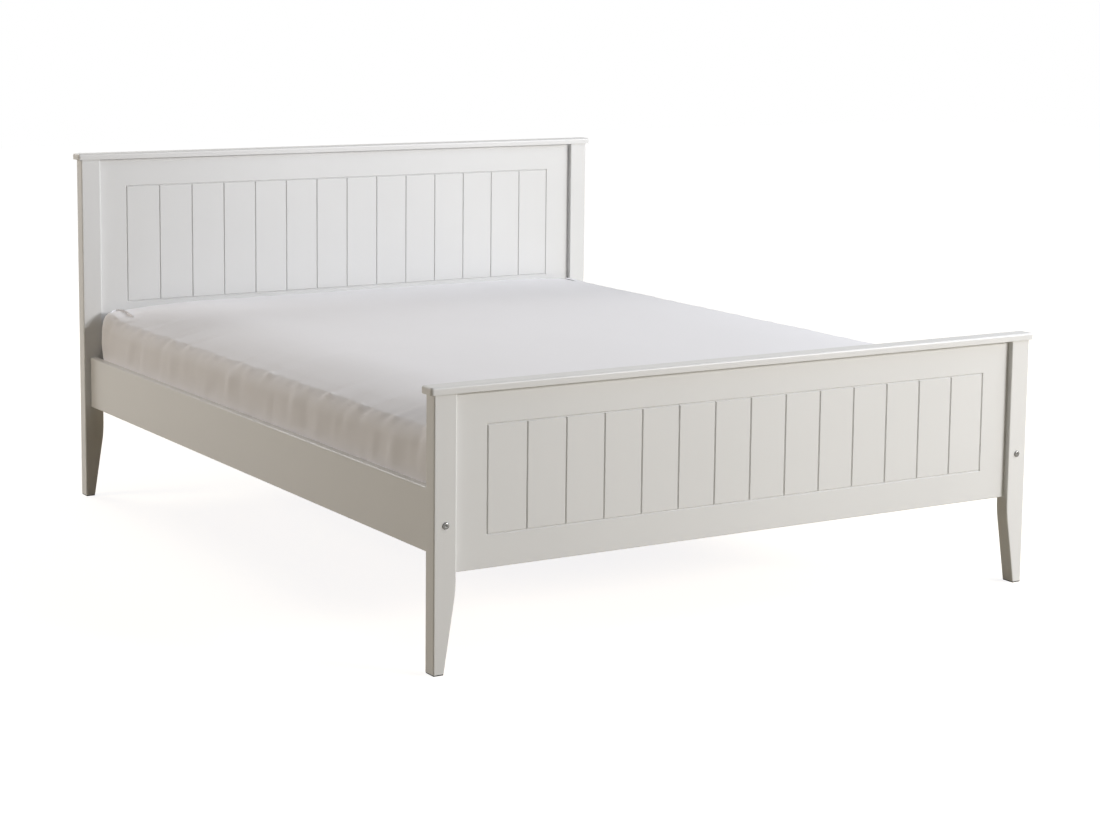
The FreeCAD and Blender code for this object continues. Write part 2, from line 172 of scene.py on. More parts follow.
def bright_zinc():
    """Zinc-plated steel. It shows a dull grey mirror, slightly cloudy from the plating bath."""
    material, tree = new_material("bright_zinc_plate")
    place = add(tree, "TexCoord").outputs["Object"]
    cloud = add(tree, "TexNoise", {"Vector": place, "Scale": spots(3), "Detail": 3.0})
    colour = two_tone(tree, cloud.outputs["Fac"], "#646362", "#858482")
    polish = add(tree, "MapRange", {"Value": cloud.outputs["Fac"], "To Min": 0.18, "To Max": 0.34})
    finish_surface(tree, {
        "Base Color": colour,
        "Metallic": 1.0,
        "Roughness": polish.outputs["Result"],
    }, cloud.outputs["Fac"], 0.02)
    return material


def dark_polyethylene():
    """Moulded polyethylene of the glides and the centre foot. It shows dull near-black with a spark-eroded
    skin, whose 1 mm grains are drawn as they are."""
    material, tree = new_material("moulded_polyethylene")
    place = add(tree, "TexCoord").outputs["Object"]
    skin = add(tree, "TexNoise", {"Vector": place, "Scale": spots(1), "Detail": 2.0})
    colour = two_tone(tree, skin.outputs["Fac"], "#24221F", "#33302C")
    finish_surface(tree, {
        "Base Color": colour,
        "Roughness": 0.6,
        "IOR": 1.51,
    }, skin.outputs["Fac"], 0.05)
    return material


def woven_tape():
    """Polyester webbing that spaces the slats. It shows as a flat tape with ribs every 3 mm along its
    length and a zigzag across, dull and slightly grey."""
    material, tree = new_material("polyester_webbing")
    place = add(tree, "TexCoord").outputs["Object"]
    ribs = add(tree, "TexWave", {"Vector": place, "Scale": bands(3)}, bands_direction="X")
    picks = add(tree, "TexWave", {"Vector": place, "Scale": bands(4), "Distortion": 1.0},
                bands_direction="DIAGONAL")
    weave = add(tree, "Math", {0: ribs.outputs["Fac"], 1: picks.outputs["Fac"]}, operation="MULTIPLY")
    colour = two_tone(tree, weave.outputs["Value"], "#B9B3A8", "#DAD6CE")
    finish_surface(tree, {
        "Base Color": colour,
        "Roughness": 0.8,
        "Sheen Weight": 0.1,
    }, weave.outputs["Value"], 0.3)
    return material


def knitted_cover():
    """Knitted polyester cover of the foam. It shows off-white with a soft 12 mm honeycomb of puffed
    cells and short shadows between them."""
    material, tree = new_material("knitted_mattress_cover")
    place = add(tree, "TexCoord").outputs["Object"]
    cells = add(tree, "TexVoronoi", {"Vector": place, "Scale": spots(12), "Randomness": 0.35},
                feature="SMOOTH_F1")
    yarn = add(tree, "TexNoise", {"Vector": place, "Scale": spots(2), "Detail": 3.0})
    # The colour darkens from each cell's middle towards its edges. This is painted shade in the hollows
    # between the puffed cells, on top of the bump's own shading.
    colour = two_tone(tree, cells.outputs["Distance"], "#EFEDE8", "#DAD7D0")
    relief = add(tree, "Math", {0: cells.outputs["Distance"], 1: -1.0, 2: yarn.outputs["Fac"]},
                 operation="MULTIPLY_ADD")
    finish_surface(tree, {
        "Base Color": colour,
        "Roughness": 0.9,
        "Sheen Weight": 0.2,
    }, relief.outputs["Value"], 0.8)
    return material


def sheet_cotton():
    """Washed cotton in plain weave. It shows as matt white with faint crossing threads and slubs, and a
    light sheen at the edges. Real threads are 0.4 mm apart; they are drawn 3 mm apart so that they show."""
    material, tree = new_material("plain_weave_cotton")
    flat = add(tree, "TexCoord").outputs["UV"]
    warp = add(tree, "TexWave", {"Vector": flat, "Scale": bands(3), "Distortion": 0.6, "Detail": 1.0},
               bands_direction="X")
    weft = add(tree, "TexWave", {"Vector": flat, "Scale": bands(3), "Distortion": 0.6, "Detail": 1.0},
               bands_direction="Y")
    slub_place = add(tree, "Mapping", {"Vector": flat, "Scale": (1.0, 0.05, 1.0)}).outputs["Vector"]
    slub = add(tree, "TexNoise", {"Vector": slub_place, "Scale": spots(5), "Detail": 2.0})
    threads = add(tree, "Math", {0: warp.outputs["Fac"], 1: weft.outputs["Fac"]}, operation="MULTIPLY")
    weave = add(tree, "Math", {0: slub.outputs["Fac"], 1: 0.6, 2: threads.outputs["Value"]},
                operation="MULTIPLY_ADD")
    colour = two_tone(tree, weave.outputs["Value"], "#F0F0F4", "#F5F5F9")
    finish_surface(tree, {
        "Base Color": colour,
        "Roughness": 0.9,
        "Sheen Weight": 0.15,
        "Sheen Roughness": 0.4,
    }, weave.outputs["Value"], 0.06)
    return material


paint = {along: satin_paint(along) for along in "XYZ"}
pine = {along: bare_pine(along) for along in "XYZ"}
finishes = {
    "zinc_steel": bright_zinc(),
    "dark_plastic": dark_polyethylene(),
    "webbing": woven_tape(),
    "foam": knitted_cover(),
    "cotton": sheet_cotton(),
}


def board_direction(node):
    """Axis that a board's grain follows: up and down in the grooved panels, along the length elsewhere."""
    low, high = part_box(node)
    return "Z" if node.endswith("panel") else "XYZ"[int(np.argmax(high - low))]


for subpart in frame["record"]["subparts"]:
    node_name, slot_name = subpart["node"], subpart["material_slot"]
    by_direction = {"painted_wood": paint, "bare_pine": pine}.get(slot_name)
    material = by_direction[board_direction(node_name)] if by_direction else finishes[slot_name]
    node_object = frame["nodes"][node_name]
    node_object.data.materials.clear()
    node_object.data.materials.append(material)


# Mesh pieces


def add_piece(name, points, quads, triangles=(), flat_cut=None, smooth=True):
    """Makes an object from an array of points, of quads and of triangles, with a UV map where each
    quad's corners have a place in a flat cut."""
    mesh = bpy.data.meshes.new(name)
    mesh.from_pydata(points.reshape(-1, 3).tolist(), [], [*quads.tolist(), *np.array(triangles).tolist()])
    mesh.polygons.foreach_set("use_smooth", np.full(len(mesh.polygons), smooth))
    if flat_cut is not None:
        layer = mesh.uv_layers.new(name="flat_cut")
        layer.data.foreach_set("uv", flat_cut.astype(np.float32).ravel())
    piece = bpy.data.objects.new(name, mesh)
    bpy.context.scene.collection.objects.link(piece)
    return piece


def dress(piece, slot, body, *nodes):
    """Gives a piece its slot's material, lets it move with a body and stand for CAD nodes."""
    piece.data.materials.append(finishes[slot])
    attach(piece, body)
    if nodes:
        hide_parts(*nodes)
    return piece


# Mattress and fitted sheet

ACROSS_CELLS = 40                # cells along the head and foot edges
ALONG_CELLS = 120                # cells along the sides
BEND_CELLS = 4                   # cells round each half corner
ACROSS_GRADING = 0.75            # how much closer the cells lie towards the corners
ALONG_GRADING = 0.35
SHOULDER_ROWS = 8
SIDE_ROWS = 6
HEEL_ROWS = 3
HEM_ROWS = 3

CORNER_RADIUS = 30 * MM          # corners seen from above
CORNER_TUCK = 60 * MM            # how much that radius grows towards the underside
TUCK_HEIGHT = 135 * MM           # height above the underside where the corners start to tuck in
LEAST_RADIUS = 8 * MM
SHOULDER_HEIGHT = 36 * MM        # height and depth of the rounded top edge
SIDE_SHOULDER = 30 * MM
END_SHOULDER = 36 * MM
CORNER_SHOULDER = 25 * MM        # the sheet is pulled tighter round the corners
CORNER_PULL = 90 * MM            # how far from a corner that pull reaches
HEEL_RADIUS = 20 * MM
BELLY = 3 * MM                   # swell of the sides
DRAW_IN = 4 * MM                 # how far the long sides pull in between the corners
LEFT_FALL = 47 * MM              # how far the soft top falls towards the side where people sit down
RIGHT_FALL = 15 * MM             # and towards the other side and the corners
FALL_WIDTH = 290 * MM            # how far in from the sides the fall begins
FALL_FOOT = 60 * MM              # height above the underside where the fall has faded out
FALL_CORNERS = 16                # power that keeps the lesser fall of the corners close to them
HEM = 90 * MM                    # hem turned under the mattress
SHEET_THICKNESS = 0.6 * MM
CORE_GAP = 2 * MM                # foam's surface inside the sheet while it settles
FOLD_GAP = 11 * MM               # and once it has given way under the folds


def edge_frames():
    """The four edges, counter-clockwise from the foot: cells along each, their grading, and the edge's turn
    as a complex number."""
    kinds = ((ACROSS_CELLS, ACROSS_GRADING), (ALONG_CELLS, ALONG_GRADING)) * 2
    return [(cells, grading, 1j ** edge) for edge, (cells, grading) in enumerate(kinds)]


def rim_columns():
    """Columns round the mattress, from the middle of the foot-left corner. Each has a place on the
    rectangle of corner centres, as shares from -1 to 1, and an outward direction, both complex numbers.
    On each edge the direction turns 45 degrees, holds along the straight and turns 45 degrees again.
    Along the straight the cells are graded by a sine, closest at the corners."""
    shares, directions = [], []
    for cells, grading, turn in edge_frames():
        step = np.arange(cells)
        bend = np.clip(step / BEND_CELLS, 0, 1) + np.clip((step - cells) / BEND_CELLS + 1, 0, 1) - 1
        run = np.clip((step - BEND_CELLS) / (cells - 2 * BEND_CELLS), 0, 1)
        run = 2 * run - grading / np.pi * np.sin(2 * np.pi * run) - 1
        shares.append((run - 1j) * turn)
        directions.append(np.exp(1j * np.pi / 4 * bend) * -1j * turn)
    return np.concatenate(shares), np.concatenate(directions)


def cover_rows(bottom, top, hem):
    """Rows down a cover: over the shoulder, down the bellied side, round the heel and in under the
    mattress. Gives each row's height, its inset from the side, and how much of it is shoulder depth."""
    lean = np.linspace(np.pi / 2, 0, SHOULDER_ROWS + 1)
    side = np.linspace(0, 1, SIDE_ROWS + 1)[1:-1]
    heel = np.linspace(0, np.pi / 2, HEEL_ROWS + 1)
    under = np.linspace(0, 1, HEM_ROWS + 1)[1:]
    side_top, side_bottom = top - SHOULDER_HEIGHT, bottom + HEEL_RADIUS
    height = np.concatenate([
        side_top + SHOULDER_HEIGHT * np.sin(lean),
        side_top + (side_bottom - side_top) * side,
        side_bottom - HEEL_RADIUS * np.sin(heel),
        np.full(HEM_ROWS, bottom)])
    inset = np.concatenate([
        np.zeros(SHOULDER_ROWS + 1),
        -4 * BELLY * side * (1 - side),
        HEEL_RADIUS * (1 - np.cos(heel)),
        HEEL_RADIUS + (hem - HEEL_RADIUS) * under])
    shoulder = np.concatenate([1 - np.cos(lean), np.zeros(len(height) - SHOULDER_ROWS - 1)])
    return height, inset, shoulder


def fallen(points, half, bottom, top):
    """Lowers a cover's top towards the long sides with the square of the way into the falling border.
    The left side falls more between its corners than at them. Down the sides the fall fades out."""
    inset = half[0] - np.abs(points[..., 0])
    corner = np.abs(points[..., 1] / half[1]) ** FALL_CORNERS
    depth = RIGHT_FALL + (LEFT_FALL - RIGHT_FALL) * (1 - corner) * (points[..., 0] < 0)
    share = (points[..., 2] - bottom - FALL_FOOT) / (top - SHOULDER_HEIGHT - bottom - FALL_FOOT)
    points[..., 2] -= depth * np.clip(1 - inset / FALL_WIDTH, 0, 1) ** 2 * np.clip(share, 0, 1)
    return points


def cover_skirt(half, bottom, top, hem):
    """Rows of points round a mattress cover. A point is the corner centre's share of the half sizes, less
    the inset and the corner's radius, plus that radius in the column's direction. The radius grows
    towards the underside with the power 1.5 and shrinks over the shoulder. The shoulder's depth blends into
    that of the corners by a bell curve of the distance from them. The long sides are drawn in by a parabola
    between the corners."""
    shares, directions = rim_columns()
    height, inset, shoulder = cover_rows(bottom, top, hem)
    off_corner = np.hypot((1 - np.abs(shares.real)) * half[0], (1 - np.abs(shares.imag)) * half[1])
    tight = np.exp(-(off_corner / CORNER_PULL) ** 2)
    depth = END_SHOULDER + (SIDE_SHOULDER - END_SHOULDER) * directions.real ** 2
    depth += (CORNER_SHOULDER - depth) * tight
    inset = inset[:, None] + shoulder[:, None] * depth
    tuck = np.clip(1 - (height - bottom) / TUCK_HEIGHT, 0, 1)[:, None] ** 1.5
    radius = np.clip(CORNER_RADIUS - 0.5 * shoulder[:, None] * depth, LEAST_RADIUS, None) + CORNER_TUCK * tuck
    x = shares.real * (half[0] - inset - radius) + radius * directions.real
    y = shares.imag * (half[1] - inset - radius) + radius * directions.imag
    x -= shares.real * DRAW_IN * (1 - (y / half[1]) ** 2)
    return fallen(np.stack([x, y, np.broadcast_to(height[:, None], x.shape)], axis=-1), half, bottom, top)


def filled_rim(rim):
    """Grid of points inside a rim, blended from its four edges: the two straight blends between opposite
    edges added up, less the blend of the four corners (a Coons patch)."""
    foot = rim[:ACROSS_CELLS + 1]
    right = rim[ACROSS_CELLS:ACROSS_CELLS + ALONG_CELLS + 1]
    head = rim[ACROSS_CELLS + ALONG_CELLS:2 * ACROSS_CELLS + ALONG_CELLS + 1][::-1]
    left = np.concatenate([rim[2 * ACROSS_CELLS + ALONG_CELLS:], rim[:1]])[::-1]
    u = np.linspace(0, 1, ACROSS_CELLS + 1)[None, :, None]
    v = np.linspace(0, 1, ALONG_CELLS + 1)[:, None, None]
    between_ends = (1 - v) * foot[None] + v * head[None]
    between_sides = (1 - u) * left[:, None] + u * right[:, None]
    corners = (1 - v) * ((1 - u) * foot[0] + u * foot[-1]) + v * ((1 - u) * head[0] + u * head[-1])
    return between_ends + between_sides - corners


def rim_numbers(first_inner):
    """Numbers of a filled grid's points: those of the rim round it, and from first_inner on the inner ones,
    row by row."""
    grid = np.zeros((ALONG_CELLS + 1, ACROSS_CELLS + 1), int)
    total = 2 * (ACROSS_CELLS + ALONG_CELLS)
    grid[0] = np.arange(ACROSS_CELLS + 1)
    grid[:, -1] = ACROSS_CELLS + np.arange(ALONG_CELLS + 1)
    grid[-1] = ACROSS_CELLS + ALONG_CELLS + np.arange(ACROSS_CELLS + 1)[::-1]
    grid[1:, 0] = total - np.arange(1, ALONG_CELLS + 1)
    inner = grid[1:-1, 1:-1]
    grid[1:-1, 1:-1] = first_inner + np.arange(inner.size).reshape(inner.shape)
    return grid


def ring_numbers(rows, columns):
    """Numbers of the points of rows that each close on themselves."""
    numbers = np.arange(rows * columns).reshape(rows, columns)
    return np.concatenate([numbers, numbers[:, :1]], axis=1)


def cell_corners(values):
    """Values at the four corners of each cell of a grid, along its columns first."""
    return np.stack([values[:-1, :-1], values[:-1, 1:], values[1:, 1:], values[1:, :-1]], -1)


def grid_quads(numbers):
    """Quads between neighbouring numbers of a grid."""
    return cell_corners(numbers).reshape(-1, 4)


def flipped(quads):
    """Quads that face the other way, from the last corner to the first."""
    return quads[:, ::-1]


def turned_over(quads):
    """Quads that face the other way and keep their first corner."""
    return quads[..., [0, 3, 2, 1]]


def sheet_flat_cut(skirt, top, half):
    """Places of all quads' corners in the sheet's flat cut: the four skirts folded out beside the top, with
    the corners cut away as where the sheet is seamed, and the top as it lies."""
    steps = np.linalg.norm(np.diff(skirt[:, ACROSS_CELLS // 2], axis=0), axis=1)
    down = np.concatenate([[0], np.cumsum(steps)])
    belt = np.concatenate([skirt[SHOULDER_ROWS], skirt[SHOULDER_ROWS, :1]])
    places, first = [], 0
    for (cells, _, turn), reach in zip(edge_frames(), (half[1], half[0]) * 2):
        steps = np.linalg.norm(np.diff(belt[first:first + cells + 1], axis=0), axis=1)
        run = np.concatenate([[0], np.cumsum(steps)])
        flat = (run[None, :] - run[-1] / 2 - 1j * (reach + down[:, None])) * turn
        places.append(turned_over(cell_corners(flat)))
        first += cells
    around = np.concatenate(places, axis=1).reshape(-1, 4)
    laid = top[..., 0] + 1j * top[..., 1]
    flat = np.concatenate([around, grid_quads(laid)])
    return np.stack([flat.real, flat.imag], axis=-1)


def cover_top(skirt, half, bottom, top):
    """Grid of the top inside a skirt's first row, level but for its fall towards the sides."""
    grid = filled_rim(skirt[0])
    grid[1:-1, 1:-1, 2] = top
    grid[1:-1, 1:-1] = fallen(grid[1:-1, 1:-1], half, bottom, top)
    return grid


def sheet_surface():
    """Fitted sheet as sewn: one cloth over the top, the sides and a hem turned under the mattress."""
    low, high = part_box("fitted_sheet")
    half = np.array([high.x, high.y])
    bottom = low.z + SHEET_THICKNESS
    skirt = cover_skirt(half, bottom, high.z, HEM)
    top = cover_top(skirt, half, bottom, high.z)
    rows, columns = skirt.shape[:2]
    around = turned_over(grid_quads(ring_numbers(rows, columns)))
    quads = np.concatenate([around, grid_quads(rim_numbers(rows * columns))])
    points = np.concatenate([skirt.reshape(-1, 3), top[1:-1, 1:-1].reshape(-1, 3)])
    return add_piece("fitted_sheet_cloth", points, quads, flat_cut=sheet_flat_cut(skirt, top, half))


def mattress_core(gap):
    """Points and quads of the foam core in its knitted cover, smaller than the sheet by a gap on the top and
    the sides. The underside stays where it is while the sheet settles."""
    low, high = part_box("fitted_sheet")
    half = np.array([high.x, high.y]) - gap
    bottom, top = low.z + CORE_GAP, high.z - gap
    skirt = cover_skirt(half, bottom, top, HEM)
    upper = cover_top(skirt, half, bottom, top)[1:-1, 1:-1]
    under = filled_rim(skirt[-1])[1:-1, 1:-1]
    rows, columns = skirt.shape[:2]
    first_inner = rows * columns
    under_numbers = rim_numbers(first_inner)
    under_numbers += np.where(under_numbers < first_inner, (rows - 1) * columns, upper.size // 3)
    quads = np.concatenate([
        flipped(grid_quads(ring_numbers(rows, columns))),
        grid_quads(rim_numbers(first_inner)),
        flipped(grid_quads(under_numbers))])
    points = np.concatenate([part.reshape(-1, 3) for part in (skirt, upper, under)])
    return points, quads


SETTLING_FRAMES = 24
SPARE_CLOTH = 0.03               # how much longer the cloth is than its way, where it is slackest
MOST_SETTLING = 8 * MM
SLACK_START = 20 * MM            # depth below the top where the cloth begins to be slack
SLACK_REACH = 120 * MM           # how far from a corner its slack reaches
SIDE_SLACK = 0.2                 # share of the spare cloth on the sides
CORNER_TOP_SLACK = 0.3           # and on top of a corner
SLACK_STEPS = 20
CLEARANCE = 1 * MM               # between the cloth and the foam


def read_points(mesh):
    """A mesh's points as an array."""
    flat = np.empty(len(mesh.vertices) * 3, np.float32)
    mesh.vertices.foreach_get("co", flat)
    return flat.reshape(-1, 3).astype(float)


def slackness(points):
    """Share of spare cloth at each point: none on the top, a little on the sides and all of it at the
    corners, by a bell curve of the distance from them."""
    high = points.max(axis=0)
    off_corner = np.hypot(high[0] - np.abs(points[:, 0]), high[1] - np.abs(points[:, 1]))
    down = np.clip((high[2] - SLACK_START - points[:, 2]) / SHOULDER_HEIGHT, 0, 1)
    corner = np.exp(-(off_corner / SLACK_REACH) ** 2)
    return np.clip(SIDE_SLACK * down + corner * (CORNER_TOP_SLACK + (1 - CORNER_TOP_SLACK) * down), 0, 1)


def settle(cloth_piece, support):
    """Lets the sheet settle on the mattress in a short cloth simulation. The hem is held, the cloth has
    some spare length on the sides and most at the corners, and no point moves further than a cap."""
    scene = bpy.context.scene
    start = read_points(cloth_piece.data)
    held = cloth_piece.vertex_groups.new(name="held")
    held.add(np.flatnonzero(start[:, 2] < start[:, 2].min() + HEEL_RADIUS).tolist(), 1.0, "REPLACE")
    spare = cloth_piece.vertex_groups.new(name="spare")
    level = np.round(slackness(start) * SLACK_STEPS)
    for step in range(1, SLACK_STEPS + 1):
        spare.add(np.flatnonzero(level == step).tolist(), step / SLACK_STEPS, "REPLACE")
    under = support.modifiers.new("under", "COLLISION")
    support.collision.thickness_outer = CLEARANCE
    simulation = cloth_piece.modifiers.new("settling", "CLOTH")
    fabric = simulation.settings
    fabric.quality = 6
    fabric.mass = 0.15
    fabric.tension_stiffness = 20
    fabric.compression_stiffness = 10
    fabric.shear_stiffness = 5
    fabric.bending_stiffness = 0.1
    fabric.vertex_group_mass = held.name
    fabric.vertex_group_shrink = spare.name
    fabric.shrink_min = 0.0
    fabric.shrink_max = -SPARE_CLOTH
    simulation.collision_settings.distance_min = CLEARANCE
    simulation.point_cache.frame_end = SETTLING_FRAMES
    for step in range(1, SETTLING_FRAMES + 1):
        scene.frame_set(step)
    settled = cloth_piece.evaluated_get(bpy.context.evaluated_depsgraph_get())
    move = read_points(settled.data) - start
    far = np.linalg.norm(move, axis=1, keepdims=True)
    move *= np.minimum(1, MOST_SETTLING / np.maximum(far, 1e-9))
    cloth_piece.modifiers.remove(simulation)
    support.modifiers.remove(under)
    cloth_piece.vertex_groups.clear()
    scene.frame_set(1)
    cloth_piece.data.vertices.foreach_set("co", (start + move).astype(np.float32).ravel())
    cloth_piece.data.update()


def subdivide(piece):
    """Replaces a piece's mesh by its own smooth subdivision, one level finer."""
    rounding = piece.modifiers.new("rounding", "SUBSURF")
    rounding.levels = rounding.render_levels = 1
    graph = bpy.context.evaluated_depsgraph_get()
    finer = bpy.data.meshes.new_from_object(piece.evaluated_get(graph), preserve_all_data_layers=True,
                                            depsgraph=graph)
    coarse = piece.data
    piece.modifiers.remove(rounding)
    piece.data = finer
    finer.name = coarse.name
    bpy.data.meshes.remove(coarse)


def waves(run, drift, lengths, random):
    """Sum of sines along a run, one for each wave length, whose phases wander with the drift."""
    total = np.zeros_like(run)
    for length in lengths:
        phase, lean = random.uniform(0, 2 * np.pi), random.normal(0, 4)
        total += np.sin(2 * np.pi * run / length + phase + lean * np.sin(2 * np.pi * drift + phase))
    return total / len(lengths)


def crease(points, start, end, depth, width):
    """Groove along a line between two points: the depth times a bell curve of the distance from the line,
    and deepest half-way along. All sizes are in millimetres."""
    start, end = np.array(start) * MM, np.array(end) * MM
    along = np.clip((points - start) @ (end - start) / np.sum((end - start) ** 2), 0, 1)
    off = np.linalg.norm(points - start - along[:, None] * (end - start), axis=1)
    return -depth * MM * np.exp(-(off / (width * MM)) ** 2) * (0.35 + 0.65 * np.sin(np.pi * along))


def swelling(points, middle, height, width):
    """Soft bump round a point, as a bell curve of the distance from it. All sizes are in millimetres."""
    off = np.linalg.norm(points - np.array(middle) * MM, axis=1)
    return height * MM * np.exp(-(off / (width * MM)) ** 2)


RIPPLES = 5.0 * MM               # height of the ripples on the rounded long edges
RIPPLE_LENGTHS = np.array([55, 83, 118, 157]) * MM
RIPPLE_SLOPE, RIPPLE_SPREAD = 32, 20             # slope in degrees where they are highest, and its spread
FINE_WRINKLES = 1.1 * MM         # height of the upright wrinkles on the sides
FINE_LENGTHS = np.array([47, 61, 73]) * MM
WIDE_WRINKLES = 3.6 * MM
WIDE_LENGTHS = np.array([97, 131, 178]) * MM
PATCH_LENGTHS = np.array([310, 470]) * MM        # stretches with more and with fewer wrinkles
UNEVENNESS = 0.5 * MM            # height of the slow waves all over
SKEW_LENGTHS = np.array([230, 340]) * MM         # across the bed
LONG_LENGTHS = np.array([260, 410]) * MM         # along the bed
RIGHT_RIPPLES, RIGHT_WRINKLES = 0.4, 0.5         # share of them on the right side
FOLDS_FROM = 400 * MM            # height where the folds begin
FOLDS_GROW = 30 * MM             # how much higher they are full
LEAST_COVER = 3 * MM             # how near the foam a fold may come
CORNERS = ((-1, 1, 1.0), (1, 1, 0.6), (-1, -1, 0.6), (1, -1, 0.5))       # side, end, size of the gathers


def fold_sheet(piece):
    """Adds the folds of the worn sheet along its normals: ripples on the rounded long edges, upright wrinkles
    on the sides, slow unevenness all over, and a gathered swelling with a crease beside it at each corner.
    The corners' places are given for the left head corner and mirrored to the others."""
    random = np.random.default_rng(SEED)
    mesh = piece.data
    points = read_points(mesh)
    normals = np.empty(points.size, np.float32)
    mesh.vertex_normals.foreach_get("vector", normals)
    normals = normals.reshape(-1, 3)
    x, y, z = points.T
    facing = np.abs(normals[:, 0])
    tilt = np.degrees(np.arctan2(facing, normals[:, 2]))
    rim = np.exp(-((tilt - RIPPLE_SLOPE) / RIPPLE_SPREAD) ** 2) * np.where(x < 0, 1.0, RIGHT_RIPPLES)
    shown = np.clip((z - FOLDS_FROM) / FOLDS_GROW, 0, 1)
    upright = facing ** 2 * shown * np.where(x < 0, 1.0, RIGHT_WRINKLES)
    move = RIPPLES * rim * waves(y, z, RIPPLE_LENGTHS, random)
    patchy = 0.6 + 0.4 * waves(y + 3 * z, z, PATCH_LENGTHS, random)
    move += FINE_WRINKLES * upright * patchy * waves(y, z, FINE_LENGTHS, random)
    move += WIDE_WRINKLES * upright * patchy * waves(y, z, WIDE_LENGTHS, random)
    move += UNEVENNESS * shown * waves(x + 0.3 * y, y, SKEW_LENGTHS, random)
    move += UNEVENNESS * shown * waves(y - 0.2 * x, x, LONG_LENGTHS, random)
    for side, end, size in CORNERS:
        folded = points * (-side, end, 1)
        move += size * swelling(folded, middle=(-768, 955, 524), height=5, width=30)
        move += size * crease(folded, start=(-790, 925, 500), end=(-770, 850, 515), depth=2, width=14)
    move = np.maximum(move, LEAST_COVER - FOLD_GAP)
    points += normals * move[:, None]
    mesh.vertices.foreach_set("co", points.astype(np.float32).ravel())
    mesh.update()


# Bends of the pleat at the left head corner, seen from above, in millimetres.
PLEAT = ((-782, 967), (-767, 980), (-756, 980), (-748, 968), (-738, 949), (-737, 920), (-739, 890))
PLEAT_HEIGHT = 6 * MM
PLEAT_ROOT = 3 * MM              # how deep its foot lies in the cloth
PLEAT_STEPS = 64
PLEAT_ROWS = 5
BEND_ROUNDING = 0.05             # share of the line over which its bends are rounded
RUFFLE = 0.9 * MM
CORNER_ACROSS = 650 * MM         # where a corner's cloth begins: across, along and up
CORNER_ALONG = 820 * MM
CORNER_HEIGHT = 460 * MM
HEIGHT_REACH = 8 * MM


def cloth_heights(points, places):
    """Height of the sheet's top at places seen from above: the mean height of its points, weighted by a
    bell curve of their distance."""
    off = np.linalg.norm(places[:, None] - points[None, :, :2], axis=-1)
    weight = np.exp(-(off / HEIGHT_REACH) ** 2)
    return weight @ points[:, 2] / weight.sum(axis=1)


def corner_pleats(cloth):
    """Pinched ends of the four corner seams, each a fin of cloth along a bent line on top of the corner.
    Its height swells and ebbs along the line with the root of a sine, and sines ruffle its upper edge."""
    points = read_points(cloth.data)
    points = points[(points[:, 2] > CORNER_HEIGHT) & (np.abs(points[:, 1]) > CORNER_ALONG)]
    bends = np.array(PLEAT) * MM
    run = np.concatenate([[0], np.cumsum(np.linalg.norm(np.diff(bends, axis=0), axis=1))])
    along = np.linspace(0, 1, PLEAT_STEPS)
    line = np.stack([np.interp(along * run[-1], run, part) for part in bends.T], axis=-1)
    near = np.exp(-((along[:, None] - along) / BEND_ROUNDING) ** 2)
    line = near @ line / near.sum(axis=1, keepdims=True)
    step = np.gradient(line, axis=0)
    across = np.stack([-step[:, 1], step[:, 0]], axis=-1) / np.linalg.norm(step, axis=1, keepdims=True)
    up = np.linspace(0, 1, PLEAT_ROWS)[:, None]
    ruffle = RUFFLE * up ** 2 * (np.sin(2 * np.pi * 9 * along) + np.sin(2 * np.pi * 5.3 * along + 1))
    plan = line[None] + ruffle[..., None] * across[None]
    rise = up * (PLEAT_ROOT + PLEAT_HEIGHT * np.sqrt(np.sin(np.pi * along))) - PLEAT_ROOT
    quads = grid_quads(np.arange(PLEAT_ROWS * PLEAT_STEPS).reshape(PLEAT_ROWS, PLEAT_STEPS))
    fins, faces = [], []
    for side, end, size in CORNERS:
        placed = plan * (-side, end)
        base = cloth_heights(points[points[:, 0] * side > CORNER_ACROSS], line * (-side, end))
        fins.append(np.dstack([placed, base + size * rise]).reshape(-1, 3))
        faces.append((quads if side * end < 0 else flipped(quads)) + len(faces) * len(fins[0]))
    flat = np.stack(np.broadcast_arrays(along * run[-1], rise), axis=-1).reshape(-1, 2)
    laid = np.tile(flat, (len(CORNERS), 1))
    faces = np.concatenate(faces)
    return add_piece("fitted_sheet_corner_pleats", np.concatenate(fins), faces, flat_cut=laid[faces])


core = add_piece("mattress_core", *mattress_core(CORE_GAP))
sheet = sheet_surface()
settle(sheet, core)
core.data.vertices.foreach_set("co", mattress_core(FOLD_GAP)[0].astype(np.float32).ravel())
core.data.update()
subdivide(sheet)
fold_sheet(sheet)
pleats = corner_pleats(sheet)
for cloth in (sheet, pleats):
    wall = cloth.modifiers.new("thickness", "SOLIDIFY")
    wall.thickness = SHEET_THICKNESS
    wall.offset = -1
dress(core, "foam", "mattress", "mattress")
dress(sheet, "cotton", "mattress", "fitted_sheet")
dress(pleats, "cotton", "mattress")


# Bolts

TURN_STEPS = 48


